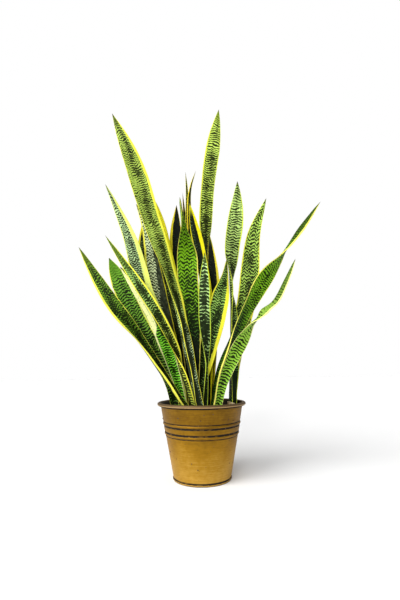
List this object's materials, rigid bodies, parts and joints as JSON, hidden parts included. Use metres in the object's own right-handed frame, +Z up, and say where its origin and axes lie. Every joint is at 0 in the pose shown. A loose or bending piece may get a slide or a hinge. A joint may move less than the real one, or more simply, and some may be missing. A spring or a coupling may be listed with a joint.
{
  "type": "potted snake plant",
  "caption": "Potted snake plant: upright sword leaves, banded green with yellow margins, rooted in soil in a round tapered gold metal pot with a rolled rim and swaged beads.",
  "frame": {"origin": "middle of the pot's foot, on the surface that it stands on", "axes": "+Z up along the pot's axis, -Y to the front"},
  "size_m": [0.479, 0.18, 0.772],
  "materials": {
    "gold_paint": "satin antique gold paint, darker in the grooves",
    "bare_steel": "plain sheet steel",
    "soil": "loose dark potting mix",
    "rhizome": "fibrous skin",
    "dry_sheath": "dry and papery",
    "leaf": "waxy satin, dark cross bands and yellow margins"
  },
  "bodies": {
    "root": {"pot_wall": "gold_paint", "rim_wire": "bare_steel", "wall_seam": "gold_paint", "base_plate": "bare_steel", "foot_hoop": "gold_paint", "soil": "soil", "rhizome": "rhizome", "dry_sheath": "dry_sheath", "leaf_left_low": "leaf", "leaf_left_front": "leaf", "leaf_left_broad": "leaf", "leaf_left_inner": "leaf", "leaf_left_tall": "leaf", "leaf_left_rear": "leaf", "leaf_left_far_rear": "leaf", "leaf_high_left": "leaf", "leaf_high_centre": "leaf", "leaf_mid_left": "leaf", "leaf_mid_rear": "leaf", "leaf_centre_broad": "leaf", "leaf_centre_front": "leaf", "leaf_young_front": "leaf", "leaf_young_middle": "leaf", "leaf_young_rear": "leaf", "leaf_centre_rear": "leaf", "leaf_right_rear": "leaf", "leaf_right_inner": "leaf", "leaf_right_upright": "leaf", "leaf_right_tall": "leaf", "leaf_right_long": "leaf", "leaf_right_front": "leaf"}
  },
  "joints": []
}
